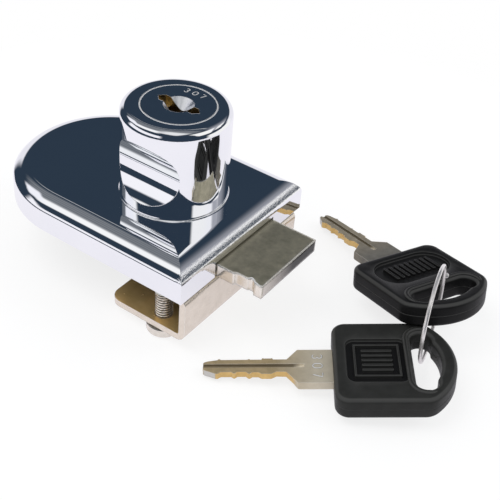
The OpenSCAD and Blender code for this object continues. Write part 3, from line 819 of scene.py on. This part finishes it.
def clamp_screw(name, node, body, y):
    """A pan-head screw, head down, with a real helical thread and a bore for the nylon tip."""
    mesh = bmesh.new()
    steps = PITCH_STEPS * math.ceil((SCREW_END - HEAD_TOP) / THREAD_PITCH)
    rows = []
    for i in range(steps + 1):
        rows.append(ring_of(mesh, thread_row(HEAD_TOP + (SCREW_END - HEAD_TOP) * i / steps)))
    rows.append(ring_of(mesh, circle(TIP_BORE, SCREW_END)))
    rows.append(ring_of(mesh, circle(TIP_BORE, SCREW_END - BORE_DEEP)))
    loft(mesh, rows)
    mesh.faces.new(rows[-1])
    profile = [(0.5, TABLE + 1.2), (0.52, TABLE + 0.04), (1.5, TABLE + 0.01)]
    profile += arc((SCREW_HEAD_R - SCREW_HEAD_SOFT, TABLE + SCREW_HEAD_SOFT), SCREW_HEAD_SOFT, -90, 0, 8)
    profile += [(SCREW_HEAD_R, HEAD_TOP - 0.15), (3.85, HEAD_TOP)]
    rings = []
    for radius, height in profile:
        shape = cross if radius < DRIVE_R else circle
        rings.append(ring_of(mesh, shape(radius, height)))
    rings.append(rows[0])
    mesh.faces.new(rings[0])
    loft(mesh, rings)
    screw_matrix = TO_METRES @ Matrix.Translation((SCREW_X, y, 0))
    made = piece(name, mesh, SCREW, body, screw_matrix)
    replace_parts(made, node)


clamp_screw("thread_front", "clamp_screw_front", "screw_front", -SCREW_Y)
clamp_screw("thread_rear", "clamp_screw_rear", "screw_rear", SCREW_Y)

# Burr thrown up along the bitten edge of the bolt, towards its nose
BOLT_NOSE = 31.8
BOLT_SIDE = -10.7
BOLT_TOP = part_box("bolt")[1][2] / MM
BITE_AT = 28.7
BITE_HALF = 1.1
BITE_DEEP = 0.75
BURR_LONG = 4.2
BURR_STEPS = 14
burr = bmesh.new()
burr_path = []
for i in range(BURR_STEPS + 1):
    x = BOLT_NOSE - 0.25 - BURR_LONG * i / BURR_STEPS
    bitten = max(0.0, 1 - ((x - BITE_AT) / BITE_HALF) ** 2)
    ragged = 0.10 * math.sin(5.3 * i) + 0.06 * math.sin(11.9 * i + 1.0)
    y = BOLT_SIDE + 0.28 + BITE_DEEP * bitten + ragged
    burr_path.append((x, y, BOLT_TOP + 0.03 + 0.4 * ragged))
bead(burr, burr_path, 0.17, 8)
# The burr's pale colour is a painted glint.
piece("bolt_burr", burr, PAINTED_GLINT, "bolt_body", TO_METRES)

# Rolled edge in the groove around the plug's face
edge_ring = bmesh.new()
torus(edge_ring, 8.375, 0.15, KNOB_TOP - 0.17, 96, 10)
# The ring's pale colour is a painted highlight.
piece("plug_edge", edge_ring, PAINTED_GLINT, "plug_body", TO_METRES)

# Slim wire of the ring, with a small ball on its end
WIRE_R = 0.42
BALL_R = 0.62
BALL_AT = 1.83
coil = bmesh.new()
torus(coil, RING_R, WIRE_R, 0.0, 160, 14)
ball_spot = Matrix.Translation(polar(RING_R + 0.35, BALL_AT, 0.4))
bmesh.ops.create_uvsphere(coil, u_segments=20, v_segments=12, radius=BALL_R, matrix=ball_spot)
ring_matrix = TO_METRES @ Matrix.Translation(RING_CENTRE) @ RING_TURN.to_4x4()
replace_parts(piece("wire_ring", coil, WIRE, "ring", ring_matrix), "key_ring")


# Camera where the photograph was taken from
camera_data = bpy.data.cameras.new("camera")
camera_data.sensor_width = 36.0
camera_data.lens = 71.466
camera_data.clip_start = 0.01
camera_data.clip_end = 20.0
camera = bpy.data.objects.new("camera", camera_data)
bpy.context.scene.collection.objects.link(camera)
right = Vector((0.815752, 0.573569, 0.074618))
up = Vector((-0.405796, 0.475604, 0.780468))
back = Vector((0.412164, -0.666948, 0.620727))
turn = Matrix((right, up, back)).transposed().to_4x4()
camera.matrix_world = Matrix.Translation((0.112609, -0.147710, 0.141472)) @ turn
bpy.context.scene.camera = camera
bpy.context.scene.view_settings.view_transform = "Standard"

# Surroundings: white to the camera, even light on the object, and for the metal a dark room with panels
NAVY = (0.026, 0.042, 0.066)
LILAC = (0.95, 0.94, 1.0)
WARM_WHITE = (1.0, 0.99, 0.97)
EVEN_LIGHT = (0.62, 0.63, 0.65)
world = bpy.data.worlds.new("room")
bpy.context.scene.world = world
world.use_nodes = True
room = Tree(world.node_tree)
room_out = room.add("ShaderNodeOutputWorld")
room_ray = room.add("ShaderNodeLightPath")
way_x, way_y, way_z = room.split(room.add("ShaderNodeTexCoord").outputs["Generated"])
above = room.ramp(way_z, 0.05, 0.10)
over_z = room.math("MAXIMUM", way_z, 0.03)
over_x = room.math("DIVIDE", way_x, over_z)
over_y = room.math("DIVIDE", way_y, over_z)
level_way = room.add("ShaderNodeVectorMath", operation="NORMALIZE")
room.link(room.level(way_x, way_y), level_way.inputs[0])


def light_panel(x, y):
    """How far a mirrored direction falls in a panel on the plane one unit overhead, with soft sides."""
    shape = above
    for value, (outer_low, inner_low, inner_high, outer_high) in ((over_x, x), (over_y, y)):
        shape = room.times(shape, room.ramp(value, outer_low, inner_low, smooth=True))
        shape = room.times(shape, room.ramp(value, outer_high, inner_high, smooth=True))
    return shape


def low_wall(toward, side, top):
    """How far a mirrored direction falls on a wall that stands to one side, below its soft top."""
    reach = room.ramp(room.dot(level_way.outputs[0], toward), *side, smooth=True)
    return room.times(reach, room.ramp(way_z, *top, smooth=True))


front = light_panel((-1.7, -1.2, -0.25, 0.05), (-1.02, -0.85, -0.50, -0.26))
above_right = light_panel((-0.30, 0.05, 0.45, 0.62), (-0.80, -0.55, -0.20, 0.05))
left = light_panel((-2.4, -1.8, -1.05, -0.90), (-0.9, -0.6, -0.22, 0.0))
glow = light_panel((-2.0, -1.0, 0.3, 0.8), (-0.80, -0.55, 0.22, 0.40))
hairline = light_panel((-1.2, -0.8, 0.1, 0.4), (0.46, 0.50, 0.52, 0.57))
behind = light_panel((0.0, 0.95, 1.45, 1.9), (0.3, 0.7, 1.7, 2.5))
strip = light_panel((0.75, 1.0, 1.6, 1.85), (1.0, 1.2, 1.75, 2.1))
beside = light_panel((0.70, 0.85, 2.0, 2.6), (-0.36, -0.20, 0.75, 0.90))
front_wall = low_wall((-0.454, -0.891, 0.0), (0.76, 0.86), (0.42, 0.34))
front_wall = room.times(front_wall, room.ramp(way_z, -0.02, 0.0))
back_wall = low_wall((-0.41, 0.912, 0.0), (0.55, 0.70), (0.30, 0.20))
right_wall = low_wall((0.744, 0.668, 0.0), (0.80, 0.90), (0.16, 0.10))
streaks = room.ramp(room.math("SINE", room.times(over_y, 42.0)), -1.0, 1.0, 0.12, 0.20)
mirrored = NAVY
for share, colour in (
    (room.times(glow, streaks), WHITE),
    (front, WHITE),
    (left, (0.95, 0.95, 1.0)),
    (front_wall, (0.97, 0.96, 1.0)),
    (beside, WARM_WHITE),
    (room.times(above_right, 0.8), WHITE),
    (room.times(behind, 0.42), LILAC),
    (strip, WARM_WHITE),
    (room.times(hairline, 0.45), WHITE),
    (back_wall, (0.86, 0.85, 0.90)),
    (right_wall, (0.98, 0.97, 0.95)),
):
    mirrored = room.mix(share, mirrored, colour)
lit = room.mix(room_ray.outputs["Is Diffuse Ray"], mirrored, EVEN_LIGHT)
seen = room.mix(room_ray.outputs["Is Camera Ray"], lit, WHITE)
room_light = room.add("ShaderNodeBackground")
room.link(seen, room_light.inputs["Color"])
room.link(room_light.outputs[0], room_out.inputs["Surface"])

# Floor: white to the camera and to the metal, with the object's soft shadow on it
FLOOR_R = 0.14
floor_mesh = bmesh.new()
bmesh.ops.create_circle(floor_mesh, cap_ends=True, radius=FLOOR_R, segments=96)
floor_data = bpy.data.meshes.new("floor")
floor_mesh.to_mesh(floor_data)
floor_mesh.free()
floor = bpy.data.objects.new("floor", floor_data)
floor.location = (0.02, 0.0, (TABLE - 0.05) * MM)
bpy.context.scene.collection.objects.link(floor)
floor_material = bpy.data.materials.new("floor")
floor_material.use_nodes = True
ground = Tree(floor_material.node_tree)
ground_out = ground.add("ShaderNodeOutputMaterial")
ground_ray = ground.add("ShaderNodeLightPath")
ground_glow = ground.add("ShaderNodeEmission")
ground_tint = ground.mix(ground_ray.outputs["Is Glossy Ray"], (0.78, 0.78, 0.78), (0.70, 0.68, 0.73))
ground.link(ground_tint, ground_glow.inputs["Color"])
ground_shade = ground.add("ShaderNodeBsdfDiffuse")
ground_shade.inputs["Color"].default_value = (0.24, 0.24, 0.24, 1.0)
ground_seen = ground.add("ShaderNodeAddShader")
ground.link(ground_glow.outputs[0], ground_seen.inputs[0])
ground.link(ground_shade.outputs[0], ground_seen.inputs[1])
ground_lit = ground.add("ShaderNodeBsdfDiffuse")
ground_lit.inputs["Color"].default_value = (0.75, 0.75, 0.75, 1.0)
ground_mix = ground.add("ShaderNodeMixShader")
ground.link(ground_ray.outputs["Is Diffuse Ray"], ground_mix.inputs[0])
ground.link(ground_seen.outputs[0], ground_mix.inputs[1])
ground.link(ground_lit.outputs[0], ground_mix.inputs[2])
ground.link(ground_mix.outputs[0], ground_out.inputs["Surface"])
floor_data.materials.append(floor_material)


def softbox(name, place, aim, side, power):
    """A square studio lamp facing a point; the metal mirrors the room's panels in its place."""
    lamp = bpy.data.lights.new(name, "AREA")
    lamp.shape = "SQUARE"
    lamp.size = side
    lamp.energy = power
    made = bpy.data.objects.new(name, lamp)
    made.location = place
    made.rotation_euler = (Vector(aim) - Vector(place)).to_track_quat("-Z", "Y").to_euler()
    made.visible_camera = False
    made.visible_glossy = False
    bpy.context.scene.collection.objects.link(made)


softbox("lamp_over", (-0.17, -0.24, 0.62), (0.02, 0.0, 0.0), 0.45, 1.6)
softbox("lamp_right", (0.45, 0.30, 0.45), (0.03, 0.0, 0.0), 0.30, 0.6)
